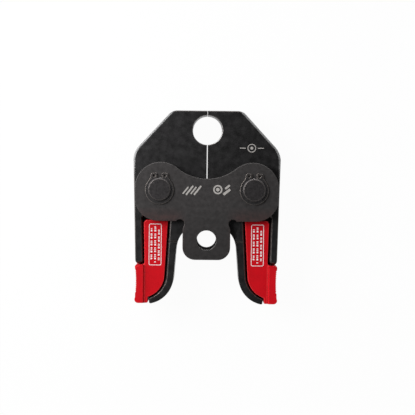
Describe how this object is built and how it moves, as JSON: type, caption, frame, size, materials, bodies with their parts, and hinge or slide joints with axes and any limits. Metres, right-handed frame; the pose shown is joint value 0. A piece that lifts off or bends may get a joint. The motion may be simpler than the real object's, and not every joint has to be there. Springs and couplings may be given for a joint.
{
  "type": "press fitting tool jaw",
  "caption": "Press tool jaw: forged black arms turn on pins between side plates and close on a round die bore, with red moulded grips on their lower ends.",
  "frame": {"origin": "centre of the footprint of the whole jaw on the surface it lies on, which the rear ends of the pivot pins touch", "axes": "+Y from the tool end to the closed jaw tips, +Z out of the front side plate, +X to the right in the picture"},
  "size_m": [0.0904, 0.118, 0.038],
  "materials": {
    "forged_steel": "black oxide on forged and ground steel",
    "plate_steel": "black oxide on rolled plate, matt",
    "pin_steel": "black oxide on turned steel",
    "ring_steel": "phosphated spring steel",
    "spring_steel": "bright drawn spring wire",
    "red_plastic": "satin moulded plastic"
  },
  "bodies": {
    "frame": {"front_side_plate": "plate_steel", "rear_side_plate": "plate_steel", "left_pivot_pin": "pin_steel", "right_pivot_pin": "pin_steel", "left_front_ring": "ring_steel", "right_front_ring": "ring_steel", "left_rear_ring": "ring_steel", "right_rear_ring": "ring_steel", "closing_spring": "spring_steel"},
    "left_arm": {"left_jaw_arm": "forged_steel", "left_grip": "red_plastic"},
    "right_arm": {"right_jaw_arm": "forged_steel", "right_grip": "red_plastic"}
  },
  "joints": [
    {"name": "left_arm_pivot", "type": "hinge", "parent": "frame", "child": "left_arm", "pos_m": [-0.0286, 0.01048, 0.019], "axis": [0, 0, 1], "range_deg": [0, 15], "stiffness_Nm_per_rad": 1.2, "springref_deg": -17.19, "deforming": ["closing_spring"]},
    {"name": "right_arm_pivot", "type": "hinge", "parent": "frame", "child": "right_arm", "pos_m": [0.0286, 0.01048, 0.019], "axis": [0, 0, -1], "range_deg": [0, 15], "stiffness_Nm_per_rad": 1.2, "springref_deg": -17.19, "deforming": ["closing_spring"]}
  ]
}
